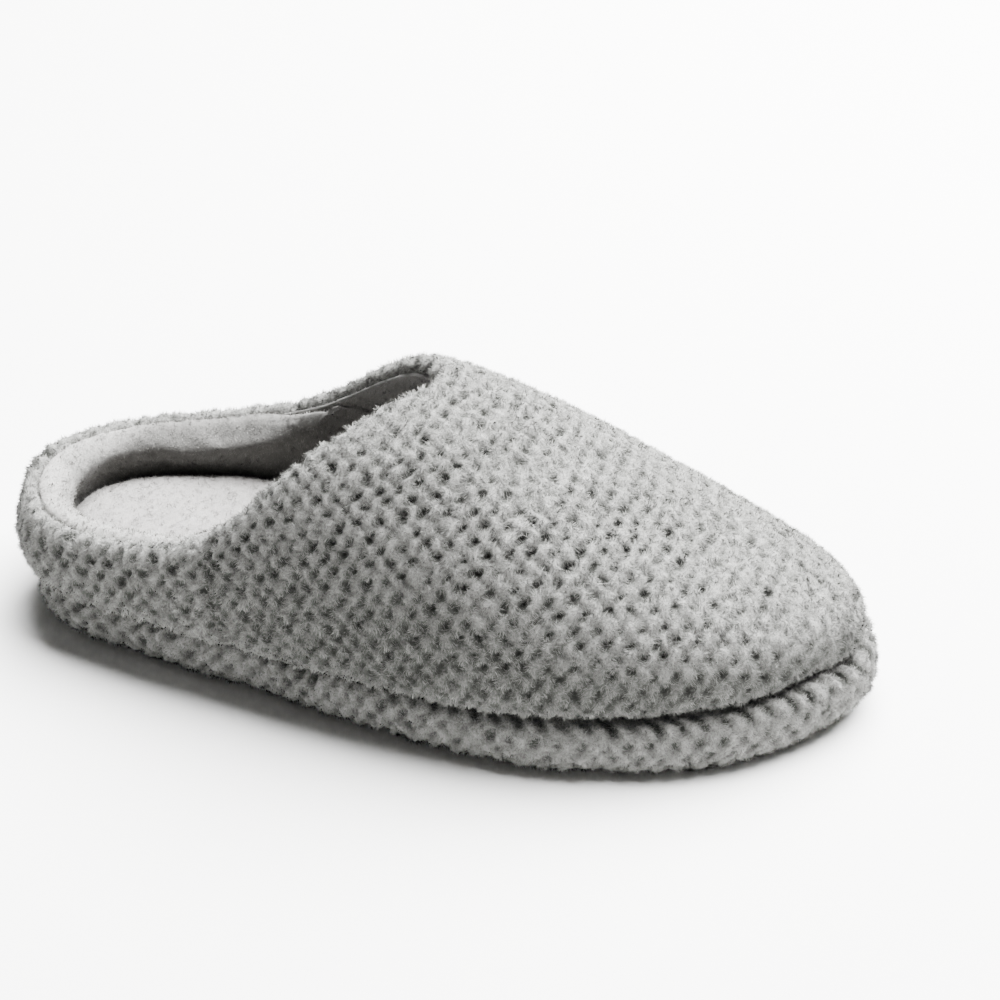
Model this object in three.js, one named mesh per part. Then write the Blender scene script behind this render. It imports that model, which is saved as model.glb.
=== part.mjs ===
// Scuff slipper, right foot, standing on its sole.
// Millimetres. +X is the toe, +Z is up, -Y is the outer (little toe) side.
// The slipper has four pieces: a fleece-wrapped foam sole, one hollow padded upper
// with a low heel wall and an open back, a plush heel collar and a plush insole.
import * as THREE from 'three';
import { mergeVertices } from 'three/addons/utils/BufferGeometryUtils.js';

// Driving sizes of the whole slipper
const shoeLength = 270;
const ballWidth = 110;
const heelWidth = 84;
const throatHeight = 94;
const toeHeight = 45.5;
const heelWallHeight = 42;

// Sole. Its underside lifts by the toe spring from toeSpringShare on, which
// is a share of the length in front of the middle.
const soleHeightHeel = 16;
const soleHeightToe = 20;
const soleEdgeInset = 9;
const seamGroove = 4;
const toeSpring = 3;
const toeSpringShare = 0.3;

// Upper: wall, its roll over the sole seam, and how far it overhangs the sole
// from the heel to overhangShare, a share of the length, then falls back
const upperWall = 7;
const rollHeight = 8;
const rollTuck = 4;
const heelOverhang = 4;
const toeSetback = 5;
const overhangShare = 0.2;

// Heel collar and insole. The collar gets lower and thinner under the vamp,
// from collarFadeShare to collarEndShare along the slipper, down to a share of its
// size, and the insole widens in front of it over the flare.
const collarThickness = 9;
const collarFoot = 5;
const collarFadeShare = 0.3;
const collarEndShare = 0.5;
const collarThinShare = 0.3;
const collarLowShare = 0.7;
const insoleThickness = 10;
const insoleEdge = 2.5;
const insoleCrown = 1;
const insoleCrownWidth = 15;
const flareShare = 0.08;

// Gap between pieces that touch, and the wider ones where a curved pad
// meets a curved wall
const clearance = 0.3;
const collarGap = 0.6;
const insoleGap = 1.3;

// Half widths of the sole as shares of the local width, which goes from
// the heel width (ball 0) to the ball width (ball 1).
const outlineTable = [
  { at: 0.0, ball: 0.0, outer: 0.0, inner: 0.0 },
  { at: 0.06, ball: 0.0, outer: 0.352, inner: 0.336 },
  { at: 0.18, ball: 0.1, outer: 0.443, inner: 0.451 },
  { at: 0.34, ball: 0.35, outer: 0.5, inner: 0.453 },
  { at: 0.5, ball: 0.75, outer: 0.531, inner: 0.441 },
  { at: 0.64, ball: 1.0, outer: 0.534, inner: 0.469 },
  { at: 0.76, ball: 1.0, outer: 0.489, inner: 0.476 },
  { at: 0.88, ball: 1.0, outer: 0.368, inner: 0.395 },
  { at: 0.96, ball: 1.0, outer: 0.195, inner: 0.252 },
  { at: 1.0, ball: 1.0, outer: 0.0, inner: 0.0 },
];

// Ridge of the vamp: its height goes from the toe height (throat 0) to the
// throat height (throat 1), as a share, and its place across the ball width.
const ridgeTable = [
  { at: 0.0, full: 1.0, throat: 0.95, across: 0.0 },
  { at: 0.3, full: 1.0, throat: 0.98, across: 0.02 },
  { at: 0.5, full: 1.0, throat: 1.0, across: 0.03 },
  { at: 0.64, full: 1.0, throat: 0.69, across: 0.02 },
  { at: 0.76, full: 1.0, throat: 0.32, across: 0.0 },
  { at: 0.88, full: 1.0, throat: 0.02, across: 0.0 },
  { at: 0.96, full: 0.66, throat: 0.0, across: 0.02 },
  { at: 1.0, full: 0.0, throat: 0.0, across: 0.0 },
];

// Top edge of the heel wall on each side, from the heel wall height (0) up
// to the throat height (1)
const crestTable = [
  { at: 0.0, outer: 0.0, inner: 0.0 },
  { at: 0.1, outer: 0.0, inner: 0.0 },
  { at: 0.18, outer: 0.05, inner: 0.05 },
  { at: 0.26, outer: 0.19, inner: 0.17 },
  { at: 0.32, outer: 0.42, inner: 0.32 },
];

// Throat edge: share of the turn over the vamp from the wall's corner (turn 0)
// to the ridge (turn 1), and where along the slipper each side lies.
const throatTable = [
  { turn: 0.0, outer: 0.32, inner: 0.32 },
  { turn: 0.15, outer: 0.348, inner: 0.368 },
  { turn: 0.35, outer: 0.392, inner: 0.418 },
  { turn: 0.6, outer: 0.444, inner: 0.468 },
  { turn: 0.8, outer: 0.484, inner: 0.496 },
  { turn: 0.93, outer: 0.506, inner: 0.508 },
  { turn: 1.0, outer: 0.51, inner: 0.51 },
];

// Side of the sole from the floor (up 0) to the seam (up 1): the rounded
// bottom edge and the groove under the upper, as shares of their two insets.
const soleSideTable = [
  { up: 0.0, edge: 1.0, groove: 0.0 },
  { up: 0.04, edge: 0.62, groove: 0.0 },
  { up: 0.16, edge: 0.26, groove: 0.0 },
  { up: 0.34, edge: 0.06, groove: 0.0 },
  { up: 0.55, edge: 0.0, groove: 0.0 },
  { up: 0.75, edge: 0.0, groove: 0.1 },
  { up: 0.9, edge: 0.0, groove: 0.4 },
  { up: 1.0, edge: 0.0, groove: 1.0 },
];

// Heel collar section: depth inwards as a share of its thickness (or of its
// foot), and height as a share of the wall inside it.
const collarTable = [
  { thick: 0.0, foot: 0.0, up: 0.0 },
  { thick: 0.0, foot: 1.0, up: 0.0 },
  { thick: 0.0, foot: 1.0, up: 0.42 },
  { thick: 0.6, foot: 0.4, up: 0.58 },
  { thick: 1.0, foot: 0.0, up: 0.75 },
  { thick: 0.93, foot: 0.0, up: 0.86 },
  { thick: 0.66, foot: 0.0, up: 0.96 },
  { thick: 0.33, foot: 0.0, up: 0.98 },
  { thick: 0.0, foot: 0.0, up: 0.9 },
  { thick: 0.0, foot: 0.0, up: 0.6 },
  { thick: 0.0, foot: 0.0, up: 0.3 },
];

// Section shape of the upper: roundness of its side and of its top, and the
// share of the angle along the slipper where the ridge turns to the toe's tip
const sideFullness = 2.1;
const topFullness = 1.9;
const toeBlendShare = 0.9;

// Steps along and across the pieces
const outlineSteps = 80;
const heelSteps = 34;
const vampSteps = 22;
const wallRows = 5;
const throatRows = 10;
const rollRows = 4;
const rimRows = 3;
const collarSteps = 44;
const insoleEdgeRows = 3;
const insoleCrownRows = 3;

// Steps in turn and in height that a direction or slope is measured over
const turnStep = 0.01;
const heightStep = rollHeight / 16;

const halfTurn = Math.PI;
const fullTurn = 2 * Math.PI;
const mix = THREE.MathUtils.lerp;
const smooth = THREE.MathUtils.smoothstep;

// Reads one column of a table at a place along it, on a smooth curve through
// the rows. The key names the column that holds the place.
function column(table, key, name, place) {
  const last = table.length - 2;
  let row = 0;
  while (row < last && table[row + 1][key] < place) {
    row += 1;
  }
  const secant = (i) => (table[i + 1][name] - table[i][name]) / (table[i + 1][key] - table[i][key]);
  const slope = (i) => {
    if (i === 0) return secant(0);
    if (i === table.length - 1) return secant(i - 1);
    const before = table[i][key] - table[i - 1][key];
    const after = table[i + 1][key] - table[i][key];
    return (secant(i - 1) * after + secant(i) * before) / (before + after);
  };
  const step = table[row + 1][key] - table[row][key];
  const t = THREE.MathUtils.clamp((place - table[row][key]) / step, 0, 1);
  const rise = table[row + 1][name] - table[row][name];
  const lead = step * slope(row) - rise;
  const tail = rise - step * slope(row + 1);
  return table[row][name] + t * rise + t * (1 - t) * (lead * (1 - t) + tail * t);
}

// The same table with its places along the slipper turned to angles, which
// makes both ends of every curve round.
const angleOf = (at) => Math.acos(1 - 2 * at);
const shareOf = (angle) => (1 - Math.cos(angle)) / 2;
const byAngle = (table) => table.map((row) => ({ ...row, angle: angleOf(row.at) }));
const outlineCurve = byAngle(outlineTable);
const ridgeCurve = byAngle(ridgeTable);
const crestCurve = byAngle(crestTable);

// Angle along the slipper, 0 at the heel and half a turn at the toe, of a
// turn round its outline, which starts at the heel along the outer side.
const angleAt = (turn) => (turn <= halfTurn ? turn : fullTurn - turn);
const sideAt = (turn) => (turn <= halfTurn ? 'outer' : 'inner');

// Point on the sole's outline
function outline(turn) {
  const whole = THREE.MathUtils.euclideanModulo(turn, fullTurn);
  const angle = angleAt(whole);
  const side = sideAt(whole);
  const ball = column(outlineCurve, 'angle', 'ball', angle);
  const half = mix(heelWidth, ballWidth, ball) * column(outlineCurve, 'angle', side, angle);
  const x = shoeLength * (shareOf(angle) - 0.5);
  return new THREE.Vector2(x, side === 'outer' ? -half : half);
}

// Direction in plan from the outline straight into the slipper
function inward(turn) {
  const along = outline(turn + turnStep).sub(outline(turn - turnStep)).normalize();
  return new THREE.Vector2(-along.y, along.x);
}

const insetPoint = (turn, depth) => outline(turn).addScaledVector(inward(turn), depth);

// The sole's top is a plane that falls from the heel to the toe
const soleTop = (x) => mix(soleHeightHeel, soleHeightToe, x / shoeLength + 0.5);

// The sole's underside lifts over the last stretch of the toe
const soleBottom = (x) => toeSpring * smooth(x / shoeLength, toeSpringShare, 0.5) ** 2;

// How far the upper's widest line lies inside the sole's outline
const setback = (share) => mix(-heelOverhang, toeSetback, smooth(share, overhangShare, 1));

// Ring of points round the slipper, one for each step
const ring = (steps, place) => Array.from({ length: steps }, (_, i) => place((fullTurn * i) / steps));

// Collects points and triangles, then gives one closed geometry
class Shell {
  constructor() {
    this.points = [];
    this.faces = [];
  }

  add(point) {
    this.points.push(point);
    return this.points.length - 1;
  }

  addRow(points) {
    return points.map((point) => this.add(point));
  }

  quad(a, b, c, d) {
    this.faces.push([a, b, c], [a, c, d]);
  }

  // Joins two rows of the same length. A closed row goes back to its start.
  strip(low, high, closed) {
    const count = closed ? low.length : low.length - 1;
    for (let i = 0; i < count; i += 1) {
      const next = (i + 1) % low.length;
      this.quad(low[i], low[next], high[next], high[i]);
    }
  }

  // Closes a ring whose points face each other across the slipper
  cap(row, up) {
    const half = row.length / 2;
    for (let i = 0; i < half; i += 1) {
      const outer = [row[i], row[i + 1]];
      const inner = [row[(row.length - i) % row.length], row[row.length - i - 1]];
      if (up) this.quad(outer[0], outer[1], inner[1], inner[0]);
      else this.quad(outer[0], inner[0], inner[1], outer[1]);
    }
  }

  geometry() {
    const flat = this.points.flatMap((point) => [point.x, point.y, point.z]);
    const shape = new THREE.BufferGeometry();
    shape.setAttribute('position', new THREE.Float32BufferAttribute(flat, 3));
    const whole = this.faces.filter(([a, b, c]) => a !== b && b !== c && c !== a);
    shape.setIndex(whole.flat());
    const merged = mergeVertices(shape, 1e-3);
    merged.computeVertexNormals();
    return merged;
  }
}

const raise = (point, z) => new THREE.Vector3(point.x, point.y, z);

// Sole: a foam block wrapped in fleece, with a rounded bottom edge and a
// groove under the upper
function makeSole() {
  const shell = new Shell();
  const rows = soleSideTable.map((row) => {
    const depth = row.edge * soleEdgeInset + row.groove * seamGroove;
    return shell.addRow(ring(outlineSteps, (turn) => {
      const point = insetPoint(turn, depth);
      return raise(point, mix(soleBottom(point.x), soleTop(point.x), row.up));
    }));
  });
  for (let i = 1; i < rows.length; i += 1) {
    shell.strip(rows[i - 1], rows[i], true);
  }
  shell.cap(rows[0], false);
  shell.cap(rows[rows.length - 1], true);
  return shell.geometry();
}

// Widest line of the upper, over the roll above the sole seam
function widest(turn) {
  const share = shareOf(angleAt(THREE.MathUtils.euclideanModulo(turn, fullTurn)));
  const point = insetPoint(turn, setback(share));
  return raise(point, soleTop(point.x) + rollHeight);
}

// Ridge of the vamp over an angle along the slipper
function ridge(angle) {
  const low = widest(angle);
  const full = column(ridgeCurve, 'angle', 'full', angle);
  const throat = column(ridgeCurve, 'angle', 'throat', angle);
  const across = column(ridgeCurve, 'angle', 'across', angle) * ballWidth;
  const top = mix(low.z, mix(toeHeight, throatHeight, throat), full);
  const toeTip = widest(halfTurn);
  const y = mix(across, toeTip.y, smooth(angle, toeBlendShare * halfTurn, halfTurn));
  return new THREE.Vector3(low.x, y, top);
}

const cornerAngle = angleOf(crestTable[crestTable.length - 1].at);

// The upper's section over one place of the outline: where its widest point
// is, which way it goes in, how far in its ridge lies and how high.
function section(turn) {
  const angle = angleAt(turn);
  const low = widest(turn);
  if (angle >= cornerAngle) {
    const top = ridge(angle);
    const way = new THREE.Vector2(top.x - low.x, top.y - low.y);
    return { low, way: way.clone().normalize(), reach: way.length(), height: top.z - low.z };
  }
  const side = turn <= halfTurn ? 1 : -1;
  const corner = section(side > 0 ? cornerAngle : fullTurn - cornerAngle);
  const other = section(side > 0 ? fullTurn - cornerAngle : cornerAngle);
  const share = smooth(angle, 0, cornerAngle);
  const way = inward(turn).multiplyScalar(1 - share).addScaledVector(corner.way, share).normalize();
  const middle = (corner.reach + other.reach) / 2;
  return { low, way, reach: mix(middle, corner.reach, share), height: corner.height };
}

// Point on the upper's outside: lift 0 at the widest line, a quarter turn on
// the ridge
function skin(place, lift) {
  const depth = place.reach * (1 - Math.cos(lift) ** (2 / sideFullness));
  const up = place.height * Math.sin(lift) ** (2 / topFullness);
  return new THREE.Vector3(
    place.low.x + place.way.x * depth,
    place.low.y + place.way.y * depth,
    place.low.z + up,
  );
}

// Lift that reaches a height above the widest line
function liftTo(place, up) {
  const share = THREE.MathUtils.clamp(up / place.height, 0, 1);
  return Math.asin(share ** (topFullness / 2));
}

// Height of the heel wall's outside where its round rim starts
function crest(turn) {
  const angle = Math.min(angleAt(turn), cornerAngle);
  const rise = column(crestCurve, 'angle', sideAt(turn), angle);
  return mix(heelWallHeight, throatHeight, rise) - upperWall / 2;
}

// Lift of the top edge over a place of the heel wall
function crestLift(turn) {
  const place = section(turn);
  return liftTo(place, crest(turn) - place.low.z);
}

// One line of the upper's outside from the top edge to the toe. Side gives
// the half, rank the row: wall rows first, then the rows over the vamp.
function vampPoint(side, rank, along) {
  const cornerTurn = side === 'outer' ? cornerAngle : fullTurn - cornerAngle;
  const cornerLift = crestLift(cornerTurn);
  const over = Math.max(0, (rank - wallRows) / throatRows);
  const lift = rank <= wallRows
    ? (cornerLift * rank) / wallRows
    : mix(cornerLift, halfTurn / 2, over);
  const start = angleOf(column(throatTable, 'turn', side, over));
  const angle = mix(start, halfTurn, along);
  return skin(section(side === 'outer' ? angle : fullTurn - angle), lift);
}

// Outside of the upper as rows of points, with the two edge loops: the top
// edge round the opening and the widest line above the sole
function upperSkin(shell) {
  const lastRank = wallRows + throatRows;
  const heelTurns = Array.from({ length: heelSteps + 1 }, (_, i) => (
    THREE.MathUtils.euclideanModulo(mix(cornerAngle, -cornerAngle, i / heelSteps), fullTurn)
  ));
  const heel = heelTurns.map((turn) => {
    const top = crestLift(turn);
    const place = section(turn);
    return Array.from({ length: wallRows + 1 }, (_, rank) => skin(place, (top * rank) / wallRows));
  });
  const heelRows = heel.map((line) => shell.addRow(line));
  for (let i = 1; i < heelRows.length; i += 1) {
    shell.strip(heelRows[i - 1], heelRows[i], false);
  }

  const across = [];
  for (let rank = 0; rank <= lastRank; rank += 1) across.push(['outer', rank]);
  for (let rank = lastRank - 1; rank >= 0; rank -= 1) across.push(['inner', rank]);
  const vampRows = [];
  for (let step = 0; step < vampSteps; step += 1) {
    const along = Math.sin((halfTurn / 2) * (step / vampSteps));
    const line = across.map(([side, rank]) => vampPoint(side, rank, along));
    if (step > 0) {
      vampRows.push(shell.addRow(line));
      continue;
    }
    // The first line starts and ends with the heel wall's own two end lines
    const row = shell.addRow(line.slice(wallRows + 1, line.length - wallRows - 1));
    const outerEnd = heelRows[0];
    const innerEnd = [...heelRows[heelRows.length - 1]].reverse();
    vampRows.push([...outerEnd, ...row, ...innerEnd]);
  }
  const tip = shell.add(widest(halfTurn));
  vampRows.push(across.map(() => tip));
  for (let i = 1; i < vampRows.length; i += 1) {
    shell.strip(vampRows[i], vampRows[i - 1], false);
  }

  const lowHeel = heelRows.slice(1, -1).map((row) => row[0]).reverse();
  const lowOuter = vampRows.map((row) => row[0]);
  const lowInner = vampRows.slice(0, -1).map((row) => row[row.length - 1]).reverse();
  const topHeel = heelRows.map((row) => row[wallRows]).reverse();
  const topVamp = vampRows[0].slice(wallRows + 1, vampRows[0].length - wallRows - 1);
  return { bottom: [...lowOuter, ...lowInner, ...lowHeel], top: [...topHeel, ...topVamp] };
}

// Turn round the outline of each point of the bottom loop, in its order
function bottomTurns() {
  const outer = [];
  const start = angleOf(throatTable[0].outer);
  for (let step = 0; step <= vampSteps; step += 1) {
    outer.push(mix(start, halfTurn, Math.sin((halfTurn / 2) * (step / vampSteps))));
  }
  const inner = outer.slice(0, -1).reverse().map((turn) => fullTurn - turn);
  const heel = [];
  for (let i = heelSteps - 1; i > 0; i -= 1) {
    heel.push(THREE.MathUtils.euclideanModulo(mix(cornerAngle, -cornerAngle, i / heelSteps), fullTurn));
  }
  return [...outer, ...inner, ...heel];
}

// Upper: one padded wall, open at the collar and throat and underneath
function makeUpper() {
  const shell = new Shell();
  const { bottom, top } = upperSkin(shell);
  const skinFaces = [...shell.faces];
  const skinCount = shell.points.length;

  // Normals of the outside
  const draft = new THREE.BufferGeometry();
  const flat = shell.points.flatMap((point) => [point.x, point.y, point.z]);
  draft.setAttribute('position', new THREE.Float32BufferAttribute(flat, 3));
  draft.setIndex(skinFaces.flat());
  draft.computeVertexNormals();
  const normals = draft.getAttribute('normal');
  const normalAt = (i) => new THREE.Vector3().fromBufferAttribute(normals, i);

  // Inside wall, one wall thickness in
  const turns = bottomTurns();
  const flatWay = new Map(bottom.map((index, i) => [index, inward(turns[i])]));
  const inside = [];
  for (let i = 0; i < skinCount; i += 1) {
    const point = shell.points[i].clone();
    const way = flatWay.get(i);
    if (way) point.add(new THREE.Vector3(way.x, way.y, 0).multiplyScalar(upperWall));
    else point.addScaledVector(normalAt(i), -upperWall);
    inside.push(shell.add(point));
  }
  skinFaces.forEach(([a, b, c]) => shell.faces.push([inside[a], inside[c], inside[b]]));

  // Round rim along the top edge
  const loop = top.map((index) => shell.points[index]);
  let row = top;
  for (let step = 1; step <= rimRows; step += 1) {
    const angle = (halfTurn * step) / (rimRows + 1);
    const next = shell.addRow(top.map((index, i) => {
      const along = loop[(i + 1) % loop.length].clone().sub(loop[(i + loop.length - 1) % loop.length]);
      const out = normalAt(index);
      const away = along.cross(out).normalize().negate();
      const centre = shell.points[index].clone().addScaledVector(out, -upperWall / 2);
      return centre
        .addScaledVector(out, (upperWall / 2) * Math.cos(angle))
        .addScaledVector(away, (upperWall / 2) * Math.sin(angle));
    }));
    shell.strip(row, next, true);
    row = next;
  }
  shell.strip(row, top.map((index) => inside[index]), true);

  // Roll under the widest line, tucked in to the sole seam
  row = bottom;
  for (let step = 1; step <= rollRows; step += 1) {
    const angle = ((halfTurn / 2) * step) / rollRows;
    const next = shell.addRow(bottom.map((index, i) => {
      const depth = rollTuck * (1 - Math.cos(angle));
      const point = shell.points[index].clone();
      point.x += inward(turns[i]).x * depth;
      point.y += inward(turns[i]).y * depth;
      const foot = soleTop(point.x) + clearance;
      point.z = mix(point.z, foot, Math.sin(angle));
      return point;
    }));
    shell.strip(next, row, true);
    row = next;
  }
  const foot = shell.addRow(bottom.map((index) => {
    const point = shell.points[inside[index]].clone();
    return raise(point, soleTop(point.x) + clearance);
  }));
  shell.strip(foot, row, true);
  shell.strip(bottom.map((index) => inside[index]), foot, true);
  return shell.geometry();
}

// Point inside the heel wall: depth from its inner face, up from the sole top
function insidePoint(turn, depth, up) {
  const place = section(turn);
  const rise = Math.max(0, up - rollHeight);
  const lift = liftTo(place, rise);
  const away = (lifted) => place.reach * (1 - Math.cos(lifted) ** (2 / sideFullness));
  const next = liftTo(place, rise + heightStep);
  const slope = rise > 0 ? (away(next) - away(lift)) / heightStep : 0;
  const inner = away(lift) + (upperWall + collarGap) * Math.hypot(1, slope);
  const point = new THREE.Vector2(place.low.x, place.low.y).addScaledVector(place.way, inner + depth);
  return raise(point, soleTop(point.x) + clearance + up);
}

// A size of the collar along the slipper, as a share of its full size
const collarFade = (share, end) => mix(1, end, smooth(share, collarFadeShare, collarEndShare));

// Heel collar: a plush pad round the inside of the heel wall
function makeCollar() {
  const shell = new Shell();
  const endAngle = angleOf(collarEndShare);
  const rows = [];
  for (let i = 0; i <= collarSteps; i += 1) {
    const signed = mix(-endAngle, endAngle, i / collarSteps);
    const turn = THREE.MathUtils.euclideanModulo(signed, fullTurn);
    const thin = collarFade(shareOf(Math.abs(signed)), collarThinShare);
    const low = collarFade(shareOf(Math.abs(signed)), collarLowShare);
    const base = widest(turn);
    const tall = (crest(turn) + upperWall / 2 - base.z + rollHeight) * low;
    rows.push(shell.addRow(collarTable.map((row) => {
      const depth = (row.thick * collarThickness + row.foot * collarFoot) * thin;
      return insidePoint(turn, depth, row.up * tall);
    })));
  }
  for (let i = 1; i < rows.length; i += 1) {
    shell.strip(rows[i - 1], rows[i], true);
  }
  const first = rows[0];
  const last = rows[rows.length - 1];
  for (let i = 1; i < first.length - 1; i += 1) {
    shell.faces.push([first[0], first[i + 1], first[i]]);
    shell.faces.push([last[0], last[i], last[i + 1]]);
  }
  return shell.geometry();
}

// Plan depth of the insole's edge: clear of the collar at the heel and of
// the upper's wall in front
function insoleDepth(turn) {
  const share = shareOf(angleAt(turn));
  const past = 1 - smooth(share, collarEndShare, collarEndShare + flareShare);
  const collar = collarFoot * collarFade(share, collarThinShare) * past;
  return setback(share) + upperWall + collar + insoleGap;
}

// Insole: a thin plush pad with a soft top edge and a slight crown
function makeInsole() {
  const shell = new Shell();
  const level = (depth, up) => shell.addRow(ring(outlineSteps, (turn) => {
    const point = insetPoint(turn, insoleDepth(turn) + depth);
    return raise(point, soleTop(point.x) + clearance + up);
  }));
  const rows = [level(0, 0), level(0, insoleThickness - insoleEdge)];
  for (let i = 1; i <= insoleEdgeRows; i += 1) {
    const angle = ((halfTurn / 2) * i) / insoleEdgeRows;
    const depth = insoleEdge * (1 - Math.cos(angle));
    rows.push(level(depth, insoleThickness - insoleEdge * (1 - Math.sin(angle))));
  }
  for (let i = 1; i <= insoleCrownRows; i += 1) {
    const share = i / insoleCrownRows;
    const up = insoleThickness + insoleCrown * Math.sin((halfTurn / 2) * share);
    rows.push(level(insoleEdge + insoleCrownWidth * share, up));
  }
  for (let i = 1; i < rows.length; i += 1) {
    shell.strip(rows[i - 1], rows[i], true);
  }
  shell.cap(rows[0], false);
  shell.cap(rows[rows.length - 1], true);
  return shell.geometry();
}

// A named piece with its own material
function piece(name, geometry, colour, roughness) {
  const material = new THREE.MeshStandardMaterial({ color: colour, roughness, metalness: 0 });
  const mesh = new THREE.Mesh(geometry, material);
  mesh.name = name;
  return mesh;
}

const fleeceGrey = 0xa9aaa7;
const plushGrey = 0xb9b8b5;
const insoleGrey = 0xc4c2bf;

const slipper = new THREE.Group();
slipper.add(piece('sole', makeSole(), fleeceGrey, 1));
slipper.add(piece('upper', makeUpper(), fleeceGrey, 1));
slipper.add(piece('heel_collar', makeCollar(), plushGrey, 1));
slipper.add(piece('insole', makeInsole(), insoleGrey, 1));

// The origin is on the floor, under the middle of the whole slipper
const extent = new THREE.Box3().setFromObject(slipper);
const middle = extent.getCenter(new THREE.Vector3());
slipper.position.set(-middle.x, -middle.y, 0);

export default slipper;
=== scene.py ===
"""Scuff slipper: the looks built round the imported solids, in metres.

+X is the toe, +Z is up and -Y is the outer side of a right foot. The popcorn fleece
of the upper and the sole side is modelled with its bobbles and pits, then given pile.
"""

import math

import bmesh
import bpy
import numpy as np
from bpy.props import FloatProperty, FloatVectorProperty, IntProperty, PointerProperty
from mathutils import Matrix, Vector, noise
from mathutils.bvhtree import BVHTree
from mathutils.geometry import convex_hull_2d


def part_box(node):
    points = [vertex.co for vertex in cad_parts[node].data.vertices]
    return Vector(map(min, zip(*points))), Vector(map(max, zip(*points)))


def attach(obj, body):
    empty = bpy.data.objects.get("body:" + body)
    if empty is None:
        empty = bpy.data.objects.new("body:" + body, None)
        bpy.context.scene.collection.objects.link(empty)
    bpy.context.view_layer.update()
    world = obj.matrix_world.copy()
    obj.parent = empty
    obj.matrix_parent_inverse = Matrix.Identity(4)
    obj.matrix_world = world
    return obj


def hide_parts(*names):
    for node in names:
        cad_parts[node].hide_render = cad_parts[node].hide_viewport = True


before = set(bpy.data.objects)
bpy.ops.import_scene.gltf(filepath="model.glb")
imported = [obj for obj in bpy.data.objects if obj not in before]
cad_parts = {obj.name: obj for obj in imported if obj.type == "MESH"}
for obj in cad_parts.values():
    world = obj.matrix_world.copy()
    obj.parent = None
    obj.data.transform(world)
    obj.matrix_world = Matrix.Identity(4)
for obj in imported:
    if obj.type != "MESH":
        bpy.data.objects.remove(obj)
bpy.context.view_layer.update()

bl_info = {
    "name": "Scuff slipper",
    "version": (1, 0, 0),
    "blender": (4, 5, 0),
    "location": "View3D > Sidebar > Slipper",
    "description": "Builds the fleece, plush and pile of a scuff slipper round its solids",
    "category": "Object",
}

MM = 0.001


def linear(code):
    """Linear colour of an sRGB hex value such as "a9aaa7"."""
    parts = [int(code[i:i + 2], 16) / 255 for i in (0, 2, 4)]
    return [c / 12.92 if c <= 0.04045 else ((c + 0.055) / 1.055) ** 2.4 for c in parts]


def size(name, text, default):
    return FloatProperty(name=name, description=text, default=default, min=0, subtype="DISTANCE",
                         unit="LENGTH")


def colour(name, text, code):
    return FloatVectorProperty(name=name, description=text, default=linear(code), size=3, min=0, max=1,
                               subtype="COLOR")


class SlipperView(bpy.types.PropertyGroup):
    """Where the slipper is seen from."""
    azimuth: FloatProperty(name="Azimuth", description="Turn of the camera round the slipper",
                           default=math.radians(14.7), subtype="ANGLE", unit="ROTATION")
    elevation: FloatProperty(name="Elevation", description="Height of the camera above the floor",
                             default=math.radians(36), subtype="ANGLE", unit="ROTATION")
    distance: size("Distance", "From the camera to the point it aims at", 808 * MM)
    aim_along: FloatProperty(name="Aim along", description="Where the camera aims, along the slipper",
                             default=1.0 * MM, subtype="DISTANCE", unit="LENGTH")
    aim_across: FloatProperty(name="Aim across", description="Where the camera aims, across the slipper",
                              default=75.94 * MM, subtype="DISTANCE", unit="LENGTH")
    lens: FloatProperty(name="Lens", description="Focal length in millimetres on a 36 mm sensor",
                        default=84.46, min=1)


class SlipperFleece(bpy.types.PropertyGroup):
    """The popcorn fleece of the upper and the sole."""
    pitch: size("Pitch", "From one pit to the next along a row", 6.9 * MM)
    row: size("Row", "From one row of pits to the next", 4.7 * MM)
    row_turn: FloatProperty(name="Row turn", description="Way of the rows from the slipper's axis, in plan",
                            default=math.radians(22), subtype="ANGLE", unit="ROTATION")
    pit_depth: size("Pit depth", "How deep a pit goes into the pile", 2.4 * MM)
    pit_width: size("Pit width", "Half width of a pit", 1.15 * MM)
    bobble: size("Bobble", "How far a bobble stands out", 2.2 * MM)
    mesh_step: size("Mesh step", "Edge length of the mesh of the fleece", 0.985 * MM)
    pile: size("Pile", "Length of the fleece's pile", 2.1 * MM)
    blades: IntProperty(name="Blades", description="Blades of pile on the upper", default=190000, min=0)
    side_blades: IntProperty(name="Side blades", description="Blades of pile on the sole", default=90000,
                             min=0)
    light: colour("Light", "Tips of the pile", "8b8b88")
    # Dark also serves as painted shade: at the roots of the pile, in the pits and creases and on the steep
    # sides
    dark: colour("Dark", "Roots of the pile, in the pits", "3a3b38")


class SlipperPlush(bpy.types.PropertyGroup):
    """The short plush of the collar, the lining and the insole."""
    mesh_step: size("Mesh step", "Edge length of the plush pads' mesh", 1.6 * MM)
    puff: size("Puff", "How far a pad may swell", 1.2 * MM)
    pile: size("Pile", "Length of the plush", 1.6 * MM)
    blades: IntProperty(name="Blades", description="Blades of plush on each piece", default=70000, min=0)
    cloth: size("Cloth", "Thickness of the lining", 1.0 * MM)
    collar: colour("Collar", "Plush of the collar and the lining", "93928f")
    insole: colour("Insole", "Plush of the insole", "898785")


class SlipperUnderside(bpy.types.PropertyGroup):
    """The cloth under the sole."""
    margin: size("Margin", "From the sole's edge to the cloth's edge", 6 * MM)
    dot: size("Dot", "From one dot to the next", 4.5 * MM)
    cloth: colour("Cloth", "Woven polyester", "8b8c8a")
    rubber: colour("Rubber", "Printed dots", "6d6e6c")


class SlipperStage(bpy.types.PropertyGroup):
    """Floor and light."""
    floor: colour("Floor", "Pale floor", "f4f4f3")
    world: FloatProperty(name="World", description="Strength of the light all round", default=0.1, min=0)
    key: FloatProperty(name="Key", description="Power of the large light above, in watts", default=275,
                       min=0)
    key_size: size("Key size", "Width of the large light", 1.3)


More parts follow.
